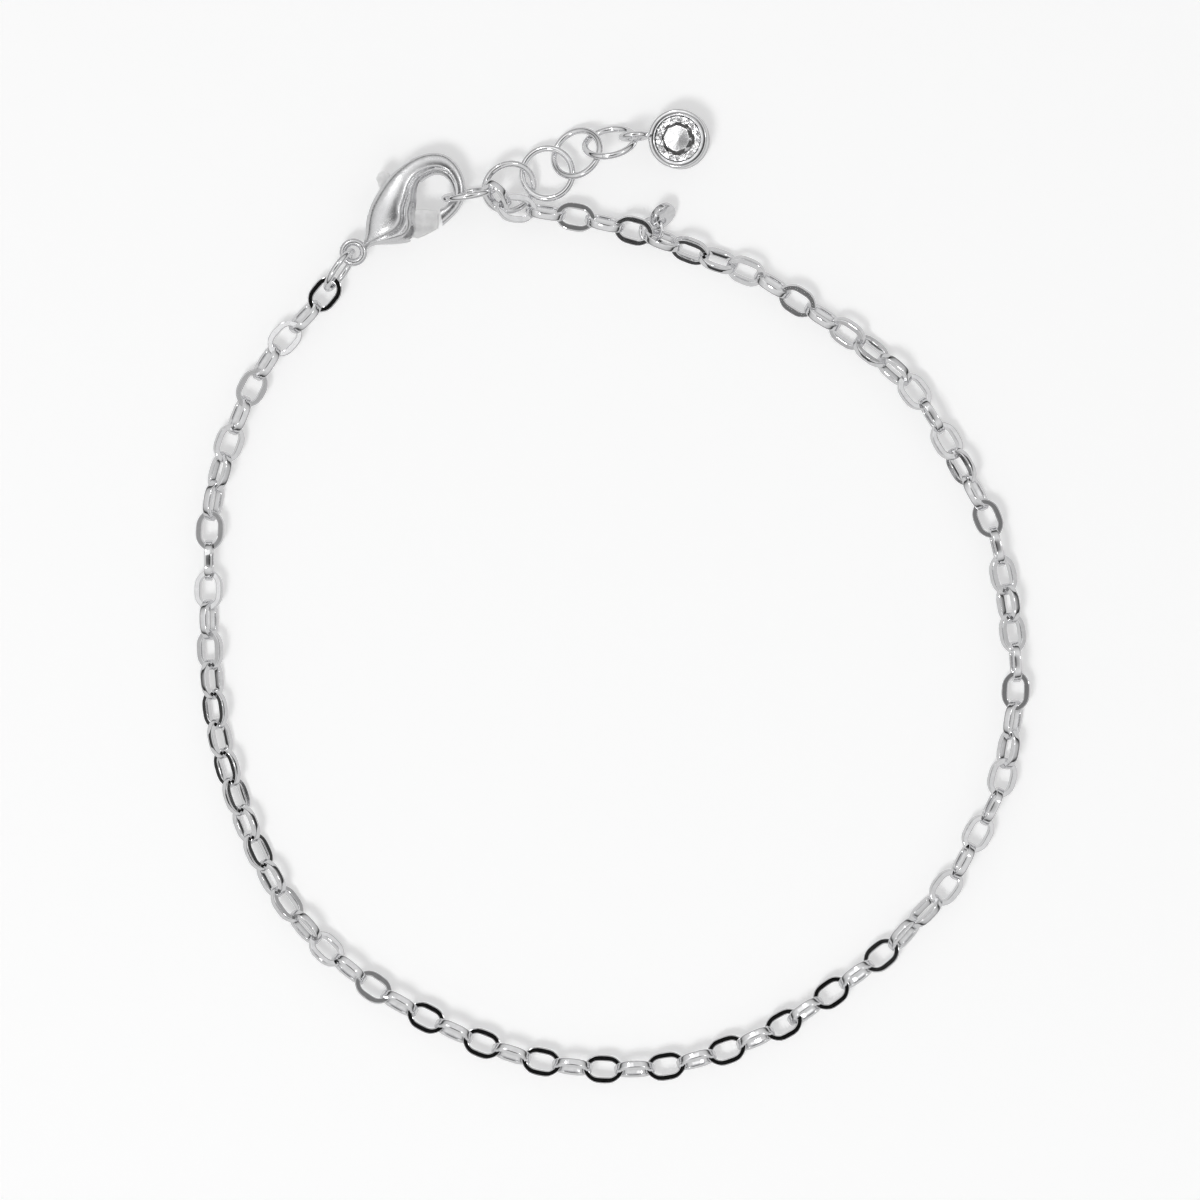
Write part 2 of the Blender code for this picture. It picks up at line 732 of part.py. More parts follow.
# The whole object is moved so that its origin is the middle of its footprint
def centre_on_footprint():
    bpy.context.view_layer.update()
    low = Vector((1e9, 1e9, 1e9))
    high = -low
    for obj in PART_COLLECTION.objects:
        for vert in obj.data.vertices:
            place = obj.matrix_world @ vert.co
            low = Vector(map(min, low, place))
            high = Vector(map(max, high, place))
    shift = Vector((-(low.x + high.x) / 2, -(low.y + high.y) / 2, -low.z))
    for obj in PART_COLLECTION.objects:
        obj.matrix_world = Matrix.Translation(shift) @ obj.matrix_world
    bpy.context.view_layer.update()
    print("shift", [round(v / MM, 4) for v in shift], "size", [round(v / MM, 3) for v in high - low])


clear_scene()
PART_COLLECTION = make_collection("link_bracelet")
CUTTER_COLLECTION = make_collection("cutters", hidden=True)
METAL = make_material("polished_silver_tone", (0.80, 0.80, 0.81), 0.16, 1.0)
CRYSTAL = make_material("clear_crystal", (0.97, 0.97, 0.98), 0.02, 0.0, 1.0)
build_chain(METAL)
build_rings(METAL)
build_clasp(METAL)
build_drop(METAL, CRYSTAL)
build_tag(METAL)
centre_on_footprint()
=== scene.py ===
import math

import bpy
from mathutils import Euler, Matrix, Vector


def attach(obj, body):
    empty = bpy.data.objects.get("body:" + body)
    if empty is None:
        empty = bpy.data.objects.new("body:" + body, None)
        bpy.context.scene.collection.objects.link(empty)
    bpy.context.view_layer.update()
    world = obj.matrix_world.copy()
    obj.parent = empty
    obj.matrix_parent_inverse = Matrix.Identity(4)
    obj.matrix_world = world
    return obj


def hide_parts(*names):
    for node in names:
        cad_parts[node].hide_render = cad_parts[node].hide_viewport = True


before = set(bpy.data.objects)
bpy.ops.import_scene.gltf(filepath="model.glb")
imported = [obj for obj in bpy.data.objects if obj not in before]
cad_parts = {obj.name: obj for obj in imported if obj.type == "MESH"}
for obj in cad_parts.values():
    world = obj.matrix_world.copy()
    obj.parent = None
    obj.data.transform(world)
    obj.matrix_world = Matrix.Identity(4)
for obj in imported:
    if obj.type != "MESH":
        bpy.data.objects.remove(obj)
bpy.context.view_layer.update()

# The setting: the bracelet lies on a white matte sheet, seen from straight above. A light from
# the lower left throws the soft shadows. The tent's white walls, the dark camera overhead and the
# dark room low round the sheet show only as reflections in the polished metal.
camera_height = 0.60
view_width = 0.080
view_centre = (-0.000836, -0.000232)
bpy.ops.object.select_all(action="DESELECT")
bpy.ops.object.camera_add(location=(*view_centre, camera_height), rotation=(0, 0, 0))
camera = bpy.context.object
camera.name = "camera"
camera.data.lens = camera.data.sensor_width * camera_height / view_width
camera.data.clip_start = 0.01
bpy.context.scene.camera = camera
bpy.context.scene.view_settings.view_transform = "Standard"

sheet_white = (0.93, 0.93, 0.93, 1.0)
bpy.ops.mesh.primitive_plane_add(size=4.0, location=(0, 0, 0))
sheet = bpy.context.object
sheet.name = "white_sheet"
sheet_paper = bpy.data.materials.new("white_sheet_paper_painted_glow")
sheet_paper.use_nodes = True
paper = sheet_paper.node_tree.nodes["Principled BSDF"].inputs
paper["Base Color"].default_value = sheet_white
paper["Roughness"].default_value = 0.9
paper["Specular IOR Level"].default_value = 0.1
# The sheet also glows faintly. This is a painted glow, not a lamp, and it lightens the shadows
# cast on the sheet.
paper["Emission Color"].default_value = (1.0, 1.0, 1.0, 1.0)
paper["Emission Strength"].default_value = 0.26
sheet.data.materials.append(sheet_paper)
sheet.visible_glossy = False

tent = bpy.data.worlds.new("tent")
tent.use_nodes = True
tent.node_tree.nodes["Background"].inputs["Color"].default_value = (1.0, 1.0, 1.0, 1.0)
tent.node_tree.nodes["Background"].inputs["Strength"].default_value = 0.50
bpy.context.scene.world = tent


def add_lamp(name, direction, distance, size, power, in_reflections):
    place = Vector(direction).normalized() * distance
    bpy.ops.object.light_add(type="AREA", location=place)
    lamp = bpy.context.object
    lamp.name = name
    lamp.data.shape = "DISK"
    lamp.data.size = size
    lamp.data.energy = power
    lamp.rotation_euler = (-place).to_track_quat("-Z", "Y").to_euler()
    lamp.visible_glossy = in_reflections
    return lamp


add_lamp("key_lamp", (-0.42, -0.62, 1.35), 1.0, 0.30, 2.9, False)


def add_card(name, corners, shade, seen_in="metal"):
    bpy.ops.mesh.primitive_plane_add(size=1.0)
    card = bpy.context.object
    card.name = name
    for vert, corner in zip(card.data.vertices, (corners[0], corners[1], corners[3], corners[2])):
        vert.co = corner
    glow = bpy.data.materials.new(name)
    glow.use_nodes = True
    glow.node_tree.nodes.remove(glow.node_tree.nodes["Principled BSDF"])
    emit = glow.node_tree.nodes.new("ShaderNodeEmission")
    emit.inputs["Color"].default_value = (shade, shade, shade, 1.0)
    glow.node_tree.links.new(emit.outputs[0], glow.node_tree.nodes["Material Output"].inputs[0])
    card.data.materials.append(glow)
    card.visible_camera = False
    card.visible_diffuse = False
    card.visible_shadow = False
    card.visible_glossy = seen_in == "metal"
    card.visible_transmission = seen_in == "stone"
    card.visible_volume_scatter = False
    return card


def add_wall_card(name, turn_from, turn_to, rise_from, rise_to, radius, shade, seen_in="metal"):
    def corner(turn, rise):
        t, e = math.radians(turn), math.radians(rise)
        return (
            radius * math.cos(e) * math.cos(t),
            radius * math.cos(e) * math.sin(t),
            radius * math.sin(e),
        )

    return add_card(
        name,
        (
            corner(turn_from, rise_from),
            corner(turn_to, rise_from),
            corner(turn_to, rise_to),
            corner(turn_from, rise_to),
        ),
        shade,
        seen_in,
    )


front_radius = 0.085
front_behind = 0.004
bpy.ops.mesh.primitive_circle_add(
    vertices=48,
    radius=front_radius,
    fill_type="NGON",
    location=(*view_centre, camera_height + front_behind),
)
camera_front = bpy.context.object
camera_front.name = "camera_front"
camera_black = bpy.data.materials.new("camera_black")
camera_black.use_nodes = True
matte = camera_black.node_tree.nodes["Principled BSDF"].inputs
matte["Base Color"].default_value = (0.01, 0.01, 0.01, 1.0)
matte["Roughness"].default_value = 1.0
matte["Specular IOR Level"].default_value = 0.0
camera_front.data.materials.append(camera_black)
camera_front.visible_camera = False
camera_front.visible_diffuse = False
camera_front.visible_shadow = False
camera_front.visible_transmission = False

# The tent's brighter walls, as turn and rise in degrees, distance in metres and shade
add_wall_card("white_wall_left", 95, 150, 42, 70, 1.4, 1.10)
add_wall_card("white_wall_far_left", 150, 210, 40, 66, 1.4, 0.85)
lid_height = 0.5


def add_lid_card(name, left, right, front, back, shade):
    corners = ((left, front), (right, front), (right, back), (left, back))
    add_card(name, [(x / 1000, y / 1000, lid_height) for x, y in corners], shade)


# Small cards below the camera and high on the walls, each mirrored by one or two links whose flat
# faces point up. The lid cards' edges are in millimetres.
add_lid_card("lid_card_white", -40, -28, 26, 38, 1.15)
add_lid_card("lid_card_pale", 26, 40, -20, -6, 0.55)
add_lid_card("lid_card_grey", -50, -31, -31, -1, 0.22)
add_lid_card("lid_card_black", -68, -48, 58, 78, 0.01)
add_wall_card("wall_card_grey", 233, 244, 62.5, 66, 1.35, 0.16)
add_wall_card("wall_card_black", 244, 251, 66, 70, 1.35, 0.03)

# The sheet as the metal mirrors it, a hair below the sheet itself. It is a card that glows at one
# fixed shade, dimmer than the lit sheet, so the metal's sides mirror a painted shade where they
# would mirror the sheet.
far = 1.6
below = -0.0002
add_card(
    "sheet_in_reflections",
    ((-far, -far, below), (far, -far, below), (far, far, below), (-far, far, below)),
    0.66,
)

# Lamps that only glint in the metal
add_wall_card("glint_lamp_front", 228, 244, 54, 61.5, 1.3, 9.0)
add_wall_card("glint_lamp_left", 112, 122, 40, 50, 1.3, 7.0)
add_wall_card("glint_lamp_right", 12, 24, 46, 56, 1.3, 5.0)

# A ring of light and dark cards that only the stone shows
stone_cards = 16
for side in range(stone_cards):
    turns = (side * 360 / stone_cards, (side + 1) * 360 / stone_cards)
    low_shade, top_shade = ((2.8, 0.9), (1.1, 1.7))[side % 2]
    add_wall_card("stone_light_%02d" % side, *turns, 30, 76, 1.4, low_shade, "stone")
    add_wall_card("stone_top_%02d" % side, *turns, 76, 89.9, 1.4, top_shade, "stone")

bpy.ops.object.select_all(action="DESELECT")
tent_radius = 1.7
tent_foot = -0.01
bpy.ops.mesh.primitive_uv_sphere_add(segments=48, ring_count=24, radius=tent_radius)
tent_wall = bpy.context.object
tent_wall.name = "tent_wall"
bpy.ops.object.mode_set(mode="EDIT")
bpy.ops.mesh.select_all(action="SELECT")
bpy.ops.mesh.bisect(plane_co=(0, 0, tent_foot), plane_no=(0, 0, 1), clear_inner=True)
bpy.ops.object.mode_set(mode="OBJECT")
tent_cloth = bpy.data.materials.new("tent_cloth")
tent_cloth.use_nodes = True
tent_nodes, tent_links = tent_cloth.node_tree.nodes, tent_cloth.node_tree.links
tent_nodes.remove(tent_nodes["Principled BSDF"])
tent_place = tent_nodes.new("ShaderNodeTexCoord")
tent_height = tent_nodes.new("ShaderNodeSeparateXYZ")
tent_share = tent_nodes.new("ShaderNodeMath")
tent_share.operation = "DIVIDE"
tent_share.inputs[1].default_value = tent_radius
tent_tone = tent_nodes.new("ShaderNodeValToRGB")
tent_emit = tent_nodes.new("ShaderNodeEmission")
tent_links.new(tent_place.outputs["Object"], tent_height.inputs["Vector"])
tent_links.new(tent_height.outputs["Z"], tent_share.inputs[0])
tent_links.new(tent_share.outputs["Value"], tent_tone.inputs["Fac"])
tent_links.new(tent_tone.outputs["Color"], tent_emit.inputs["Color"])
tent_links.new(tent_emit.outputs[0], tent_nodes["Material Output"].inputs[0])
tent_ramp = tent_tone.color_ramp
tent_ramp.elements[0].position, tent_ramp.elements[0].color = 0.0, (0.03, 0.03, 0.03, 1.0)
tent_ramp.elements[1].position, tent_ramp.elements[1].color = 1.0, (0.12, 0.12, 0.12, 1.0)
tent_shades = ((0.13, 0.06), (0.30, 0.50), (0.62, 0.74), (0.84, 0.78), (0.93, 0.55), (0.98, 0.14))
for rise, shade in tent_shades:
    tent_ramp.elements.new(rise).color = (shade, shade, shade, 1.0)
tent_wall.data.materials.append(tent_cloth)
tent_wall.visible_camera = False
tent_wall.visible_diffuse = False
tent_wall.visible_shadow = False
tent_wall.visible_transmission = False
tent_wall.visible_volume_scatter = False

# The chain: oval links bent from flat-faced wire and soldered shut, each hooked through the next
# and turned a quarter round from it, as cable chain is. It is closed, laid down in a loop, and
# the links roll a little as the loop turns.


# Brass plated with bright silver-coloured metal and polished, with the fine wiping marks and
# slight unevenness that a tumbled finish has
def polished_plate(name, tint, rough, marks):
    mat = bpy.data.materials.new(name)
    mat.use_nodes = True
    nodes, links = mat.node_tree.nodes, mat.node_tree.links
    shader = nodes["Principled BSDF"]
    shader.inputs["Metallic"].default_value = 1.0
    place = nodes.new("ShaderNodeTexCoord")
    wiping = nodes.new("ShaderNodeTexNoise")
    wiping.inputs["Scale"].default_value = 2600.0
    wiping.inputs["Detail"].default_value = 4.0
    wiping.inputs["Roughness"].default_value = 0.6
    links.new(place.outputs["Object"], wiping.inputs["Vector"])
    tone = nodes.new("ShaderNodeValToRGB")
    tone.color_ramp.elements[0].position = 0.30
    tone.color_ramp.elements[0].color = (tint[0] * 0.90, tint[1] * 0.90, tint[2] * 0.90, 1.0)
    tone.color_ramp.elements[1].position = 0.70
    tone.color_ramp.elements[1].color = (*tint, 1.0)
    links.new(wiping.outputs["Fac"], tone.inputs["Fac"])
    links.new(tone.outputs["Color"], shader.inputs["Base Color"])
    gloss = nodes.new("ShaderNodeMapRange")
    gloss.inputs["To Min"].default_value = rough * 0.7
    gloss.inputs["To Max"].default_value = rough * 1.5
    links.new(wiping.outputs["Fac"], gloss.inputs["Value"])
    links.new(gloss.outputs["Result"], shader.inputs["Roughness"])
    unevenness = nodes.new("ShaderNodeTexNoise")
    unevenness.inputs["Scale"].default_value = 900.0
    unevenness.inputs["Detail"].default_value = 2.0
    links.new(place.outputs["Object"], unevenness.inputs["Vector"])
    relief = nodes.new("ShaderNodeBump")
    relief.inputs["Strength"].default_value = marks
    relief.inputs["Distance"].default_value = 0.00002
    links.new(unevenness.outputs["Fac"], relief.inputs["Height"])
    links.new(relief.outputs["Normal"], shader.inputs["Normal"])
    return mat


merge_near = 0.000001
link_length = 0.00274
link_width = 0.00190
wire_wide = 0.00042
solder_sink = 0.00006
halves_slack = 0.00018
link_lean = 24.0
lean_fade = 22.0
link_roundness = 0.25
chain_metal = polished_plate("polished_link_metal", (0.88, 0.88, 0.89), 0.05, 0.06)

bend_radius = (link_width - wire_wide) / 2
straight_half = (link_length - link_width) / 2
# A quarter of the wire's section, from the edge of its flat face round to its side
wire_corner = [
    (0.000145, 0.000250),
    (0.000168, 0.000242),
    (0.000187, 0.000226),
    (0.000200, 0.000202),
    (0.000207, 0.000165),
    (0.000210, 0.000080),
]
bpy.ops.object.select_all(action="DESELECT")
bpy.ops.mesh.primitive_circle_add(
    vertices=4 * len(wire_corner), radius=0.0003, rotation=(math.pi / 2, 0, math.pi / 2)
)
link = bpy.context.object
link.name = "link"
bpy.ops.object.transform_apply(location=True, rotation=True, scale=True)
wire_outline = [(-y, z) for y, z in wire_corner] + [(-y, -z) for y, z in reversed(wire_corner)]
wire_outline = wire_outline + [(-y, -z) for y, z in wire_outline]
for vert, (y, z) in zip(link.data.vertices, wire_outline):
    vert.co = (0.0, y - bend_radius, z)
bpy.ops.object.mode_set(mode="EDIT")
bpy.ops.mesh.select_all(action="SELECT")
bpy.ops.mesh.spin(steps=12, angle=math.pi, center=(0, 0, 0), axis=(0, 0, 1))
bpy.ops.object.mode_set(mode="OBJECT")
bend_side = math.copysign(1.0, sum(vert.co.x for vert in link.data.vertices))
bpy.ops.object.mode_set(mode="EDIT")
bpy.ops.mesh.select_all(action="SELECT")
bpy.ops.transform.translate(value=(straight_half * bend_side, 0, 0))
bpy.ops.mesh.select_mode(type="EDGE")
bpy.ops.mesh.select_all(action="DESELECT")
bpy.ops.mesh.select_non_manifold()
straight_steps = 3
for _ in range(straight_steps):
    bpy.ops.mesh.extrude_edges_move(
        TRANSFORM_OT_translate={"value": (-straight_half / straight_steps * bend_side, 0, 0)}
    )
bpy.ops.object.mode_set(mode="OBJECT")
for vert in link.data.vertices:
    vert.co.y *= 1.0 - link_roundness * (vert.co.x / (link_length / 2)) ** 2
mirror = link.modifiers.new("other_half", "MIRROR")
mirror.merge_threshold = merge_near
bpy.ops.object.modifier_apply(modifier="other_half")
bpy.ops.object.mode_set(mode="EDIT")
bpy.ops.mesh.select_all(action="SELECT")
bpy.ops.mesh.remove_doubles(threshold=merge_near)
bpy.ops.mesh.normals_make_consistent(inside=False)
bpy.ops.object.mode_set(mode="OBJECT")
bpy.ops.object.shade_smooth_by_angle(angle=math.radians(18))
link.data.materials.append(chain_metal)

# Where the chain lies: x, y and height in millimetres and its twist in degrees
chain_lay = [
    (-18.55, 20.85, 1.05, 0),
    (-20.5, 18.5, 0.95, 0),
    (-22.1, 16.95, 0.95, 0),
    (-24.1, 13.8, 0.95, 5),
    (-25.6, 10.1, 0.95, 15),
    (-26.3, 7.9, 0.95, 40),
    (-26.65, 6.2, 0.95, 65),
    (-26.85, 4.2, 0.95, 88),
    (-26.9, 0.4, 0.95, 80),
    (-26.9, -1.7, 0.95, 62),
    (-26.7, -5.6, 0.9, 52),
    (-26.2, -9.4, 0.9, 48),
    (-25.1, -13.3, 0.9, 46),
    (-23.7, -16.9, 0.9, 44),
    (-21.8, -20.4, 0.9, 40),
    (-19.1, -23.5, 0.9, 25),
    (-15.9, -26.1, 0.95, 8),
    (-12.4, -28.1, 0.95, 0),
    (-8.7, -29.8, 0.95, 0),
    (-4.9, -31.0, 0.95, 0),
    (-0.8, -31.5, 0.95, 0),
    (3.4, -31.35, 0.95, 0),
    (7.4, -30.3, 0.95, 0),
    (11.3, -28.6, 0.95, 0),
    (14.7, -26.3, 0.95, 0),
    (18.2, -23.7, 0.95, 8),
    (19.6, -22.2, 0.95, 35),
    (20.95, -20.8, 0.95, 65),
    (22.3, -19.4, 0.95, 85),
    (23.3, -17.6, 0.95, 72),
    (25.3, -13.9, 0.95, 80),
    (25.95, -12.1, 0.95, 82),
    (26.3, -10.1, 0.95, 55),
    (26.65, -8.2, 0.95, 25),
    (26.85, -6.3, 0.95, 4),
    (26.8, -4.3, 0.95, -12),
    (26.6, -2.5, 0.93, -36),
    (26.0, 1.4, 0.93, -34),
    (25.5, 3.3, 0.965, -10),
    (25.0, 5.2, 0.95, 4),
    (23.2, 8.6, 0.95, 45),
    (22.2, 10.3, 0.95, 70),
    (21.2, 12.0, 0.95, 85),
    (20.1, 13.6, 0.95, 78),
    (18.8, 15.0, 0.95, 55),
    (15.6, 17.5, 0.9, 38),
    (12.2, 19.7, 0.95, 12),
    (10.6, 20.75, 0.95, 14),
    (9.0, 21.65, 0.95, 30),
    (7.0, 22.3, 0.95, 46),
    (5.1, 23.0, 1.0, 44),
    (2.2, 24.1, 1.08, 20),
    (-0.9, 24.9, 1.0, -6),
    (-3.5, 25.4, 1.0, -2),
    (-5.47, 25.7, 1.2, -2),
    (-7.39, 25.86, 1.66, -16),
    (-8.11, 27.23, 2.9, -60),
]
# How far the links are drawn out along the chain: share of the way round, share of the pitch
chain_draw = [
    (0.00, 1.009),
    (0.26, 1.009),
    (0.34, 1.034),
    (0.42, 1.060),
    (0.60, 1.060),
    (0.64, 0.989),
    (0.77, 0.989),
    (0.80, 1.005),
    (0.90, 1.008),
    (0.93, 1.012),
    (1.00, 1.012),
]
lay_origin = Vector((0.0313, 0.0349, 0.0)) / 1000
lay_steps = 12
links_in_all = 82
links_in_left = 41


def smooth_lay():
    rows = [Vector((x / 1000, y / 1000, z / 1000, twist)) for x, y, z, twist in chain_lay]
    rows = [rows[0] * 2 - rows[1]] + rows + [rows[-1] * 2 - rows[-2]]
    line = []
    for p0, p1, p2, p3 in zip(rows, rows[1:], rows[2:], rows[3:]):
        for step in range(lay_steps):
            t = step / lay_steps
            line.append(
                0.5
                * (
                    2 * p1
                    + (p2 - p0) * t
                    + (2 * p0 - 5 * p1 + 4 * p2 - p3) * t * t
                    + (3 * p1 - p0 - 3 * p2 + p3) * t * t * t
                )
            )
    line.append(rows[-2])
    return line


def next_hold(line, start, index, chord):
    here = start.xyz
    while index < len(line) - 1:
        a, b = line[index], line[index + 1]
        if (b.xyz - here).length >= chord:
            low, high = 0.0, 1.0
            if (a.xyz - here).length < chord:
                for _ in range(30):
                    mid = (low + high) / 2
                    if (a.lerp(b, mid).xyz - here).length < chord:
                        low = mid
                    else:
                        high = mid
            return a.lerp(b, high), index
        index += 1
    overshoot = chord - (line[-1].xyz - here).length
    step = (line[-1] - line[-2]).xyz.normalized() * overshoot
    end = line[-1]
    return Vector((end.x + step.x, end.y + step.y, end.z + step.z, end.w)), index


def drawn(way):
    for (before, low), (after, high) in zip(chain_draw, chain_draw[1:]):
        if way <= after:
            return low + (high - low) * (way - before) / (after - before)
    return chain_draw[-1][1]


def lay_links(line, pitch):
    hold, index = line[0], 0
    spans = []
    for number in range(links_in_all):
        chord = pitch * drawn((number + 0.5) / links_in_all)
        if number == links_in_left:
            back = (line[index].xyz - hold.xyz).normalized()
            shift = back * (chord - link_length + 2 * wire_wide + halves_slack)
            if back.dot(hold.xyz - spans[-1][0].xyz) > 0:
                shift = -shift
            hold = Vector((hold.x + shift.x, hold.y + shift.y, hold.z + shift.z, hold.w))
        ahead, index = next_hold(line, hold, index, chord)
        spans.append((hold, ahead))
        hold = ahead
    return spans, (hold.xyz - line[-1].xyz).length * (1 if index >= len(line) - 1 else -1)


lay_line = smooth_lay()
pitch_nominal = link_length - 2 * wire_wide + solder_sink
pitch_low, pitch_high = pitch_nominal * 0.96, pitch_nominal * 1.04
for _ in range(40):
    link_pitch = (pitch_low + pitch_high) / 2
    link_spans, over = lay_links(lay_line, link_pitch)
    if over > 0:
        pitch_high = link_pitch
    else:
        pitch_low = link_pitch

links_laid = []
for number, (start, end) in enumerate(link_spans):
    along = (end.xyz - start.xyz).normalized()
    up = (Vector((0, 0, 1)) - along * along.z).normalized()
    side = up.cross(along)
    # Where every other link lies flat, the ones between tip over from standing upright
    twist = (start.w + end.w) / 2
    upright = 90.0 + link_lean * max(0.0, 1.0 - abs(twist) / lean_fade)
    turn = math.radians(twist + (upright if number % 2 else 0.0))
    face = up * math.cos(turn) + side * math.sin(turn)
    across = face.cross(along)
    lie = Matrix((along, across, face)).transposed().to_4x4()
    lie = Matrix.Translation((start.xyz + end.xyz) / 2 + lay_origin) @ lie
    laid = link.copy()
    laid.data = link.data.copy()
    laid.data.transform(lie)
    bpy.context.scene.collection.objects.link(laid)
    links_laid.append(laid)
bpy.data.objects.remove(link, do_unlink=True)

for node, members in (
    ("chain_left", links_laid[:links_in_left]),
    ("chain_right", links_laid[links_in_left:]),
):
    bpy.ops.object.select_all(action="DESELECT")
    for laid in members:
        laid.select_set(True)
    bpy.context.view_layer.objects.active = members[0]
    bpy.ops.object.join()
    chain_half = bpy.context.object
    chain_half.name = node + "_links"
    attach(chain_half, "bracelet")
    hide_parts(node)

# The jump rings: round wire wound on a rod, sawn into rings and closed with a butt joint. One
# joins the chain to the clasp's eye, one holds the clasp's hook, and four make the extender.
ring_wire = 0.00044
ring_gap_deg = 1.2
ring_metal = polished_plate("polished_ring_metal", (0.88, 0.88, 0.89), 0.045, 0.05)


def jump_ring(name, outer, wire, place, gap_turn):
    x, y, z, heading, pitch, roll = place
    radius = (outer - wire) / 2
    bpy.ops.object.select_all(action="DESELECT")
    bpy.ops.mesh.primitive_circle_add(
        vertices=20, radius=wire / 2, location=(radius, 0, 0), rotation=(math.pi / 2, 0, 0)
    )
    ring = bpy.context.object
    ring.name = name
    bpy.ops.object.transform_apply(location=True, rotation=True, scale=True)
    bpy.ops.object.mode_set(mode="EDIT")
    bpy.ops.mesh.select_all(action="SELECT")
    bpy.ops.mesh.spin(
        steps=72, angle=math.radians(360 - ring_gap_deg), center=(0, 0, 0), axis=(0, 0, 1)
    )
    bpy.ops.mesh.select_mode(type="EDGE")
    bpy.ops.mesh.select_all(action="DESELECT")
    bpy.ops.mesh.select_non_manifold()
    bpy.ops.mesh.edge_face_add()
    bpy.ops.mesh.select_all(action="SELECT")
    bpy.ops.mesh.normals_make_consistent(inside=False)
    bpy.ops.object.mode_set(mode="OBJECT")
    bpy.ops.object.shade_smooth_by_angle(angle=math.radians(40))
    facing = Euler((math.radians(roll), math.radians(pitch), math.radians(heading)), "XYZ")
    ring.data.transform(
        Matrix.Translation(Vector((x, y, z)) / 1000 + lay_origin)
        @ facing.to_matrix().to_4x4()
        @ Matrix.Rotation(math.radians(gap_turn), 4, "Z")
    )
    ring.data.materials.append(ring_metal)
    return ring


# Each ring: outer size in metres; x, y and height in millimetres and heading, pitch and roll in
# degrees; and where round it the cut is
ring_places = (
    ("tail_ring", 0.00340, (-18.16, 21.66, 1.68, 55.7, -0.7, 79.8), 200),
    ("hook_ring", 0.00380, (-9.55, 26.72, 1.89, 10.3, 2.4, 97.2), 265),
    ("extender_ring_1", 0.00380, (-6.91, 27.20, 1.02, 13.8, 9.8, 26.6), 100),
    ("extender_ring_2", 0.00380, (-4.37, 28.13, 0.99, 34.3, -3.1, -7.8), 255),
    ("extender_ring_3", 0.00380, (-2.41, 29.45, 1.25, 30.2, -12.3, -33.5), 80),
    ("extender_ring_4", 0.00380, (-0.21, 30.14, 1.62, 11.2, -1.5, -56.6), 250),
)
for node, outer, place, gap_turn in ring_places:
    ring = jump_ring(node + "_wire", outer, ring_wire, place, gap_turn)
    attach(ring, "bracelet")
    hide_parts(node)

# The lobster clasp: a cast body with a swelling belly, a stepped ridge that runs up the belly and
# round the hook, and an eye cast on its tail. It is slotted along the middle for the lever.
clasp_size = 0.010
clasp_thick = 0.00280
clasp_middle = clasp_thick / 2 + 0.00005
clasp_pivot = Vector((-0.01520, 0.02453, clasp_middle)) + lay_origin
clasp_eye_radius = 0.00068
clasp_eye_wire = 0.00050
clasp_eye_place = (-0.00207, -0.00167, 0)
clasp_fullness = 2.8
clasp_metal = polished_plate("polished_clasp_metal", (0.86, 0.86, 0.87), 0.23, 0.07)

# Stations from neck to tip, as shares of the clasp's size: outer side, inner side, half
# thickness as a share of its thickness, and how strongly the stepped ridge shows
clasp_stations = [
    ((-0.147, -0.120), (-0.113, -0.147), 0.12, 0.0),
    ((-0.130, -0.067), (-0.060, -0.120), 0.26, 0.4),
    ((-0.123, 0.027), (0.073, -0.113), 0.40, 0.8),
    ((-0.107, 0.113), (0.180, -0.093), 0.47, 1.0),
    ((-0.080, 0.177), (0.223, -0.027), 0.50, 1.0),
    ((-0.043, 0.240), (0.210, 0.060), 0.49, 1.0),
    ((0.000, 0.300), (0.223, 0.147), 0.46, 1.0),
    ((0.053, 0.360), (0.223, 0.220), 0.42, 1.0),
    ((0.113, 0.410), (0.237, 0.277), 0.36, 1.0),
    ((0.180, 0.453), (0.267, 0.313), 0.31, 1.0),
    ((0.253, 0.483), (0.307, 0.337), 0.27, 0.9),
    ((0.333, 0.495), (0.347, 0.347), 0.245, 0.7),
    ((0.413, 0.477), (0.387, 0.340), 0.225, 0.5),
    ((0.480, 0.420), (0.423, 0.313), 0.215, 0.3),
    ((0.527, 0.333), (0.447, 0.267), 0.21, 0.15),
    ((0.540, 0.227), (0.455, 0.213), 0.21, 0.0),
    ((0.507, 0.133), (0.427, 0.167), 0.205, 0.0),
    ((0.450, 0.063), (0.397, 0.137), 0.20, 0.0),
    ((0.370, -0.007), (0.370, 0.127), 0.19, 0.0),
]
# Across the clasp from its outer side (-1) to its inner side (1): height of the stepped face
ridge_profile = [
    (-1.00, 0.00),
    (-0.985, 0.30),
    (-0.95, 0.50),
    (-0.87, 0.68),
    (-0.74, 0.80),
    (-0.55, 0.90),
    (-0.32, 0.97),
    (-0.08, 1.00),
    (0.12, 0.99),
    (0.22, 0.95),
    (0.28, 0.86),
    (0.33, 0.76),
    (0.38, 0.76),
    (0.44, 0.84),
    (0.52, 0.88),
    (0.60, 0.84),
    (0.66, 0.72),
    (0.73, 0.62),
    (0.82, 0.54),
    (0.91, 0.40),
    (0.98, 0.20),
    (1.00, 0.00),
]


def blend_rows(p0, p1, p2, p3, t):
    return tuple(
        0.5
        * (
            2 * b
            + (c - a) * t
            + (2 * a - 5 * b + 4 * c - d) * t * t
            + (3 * b - a - 3 * c + d) * t * t * t
        )
        for a, b, c, d in zip(p0, p1, p2, p3)
    )


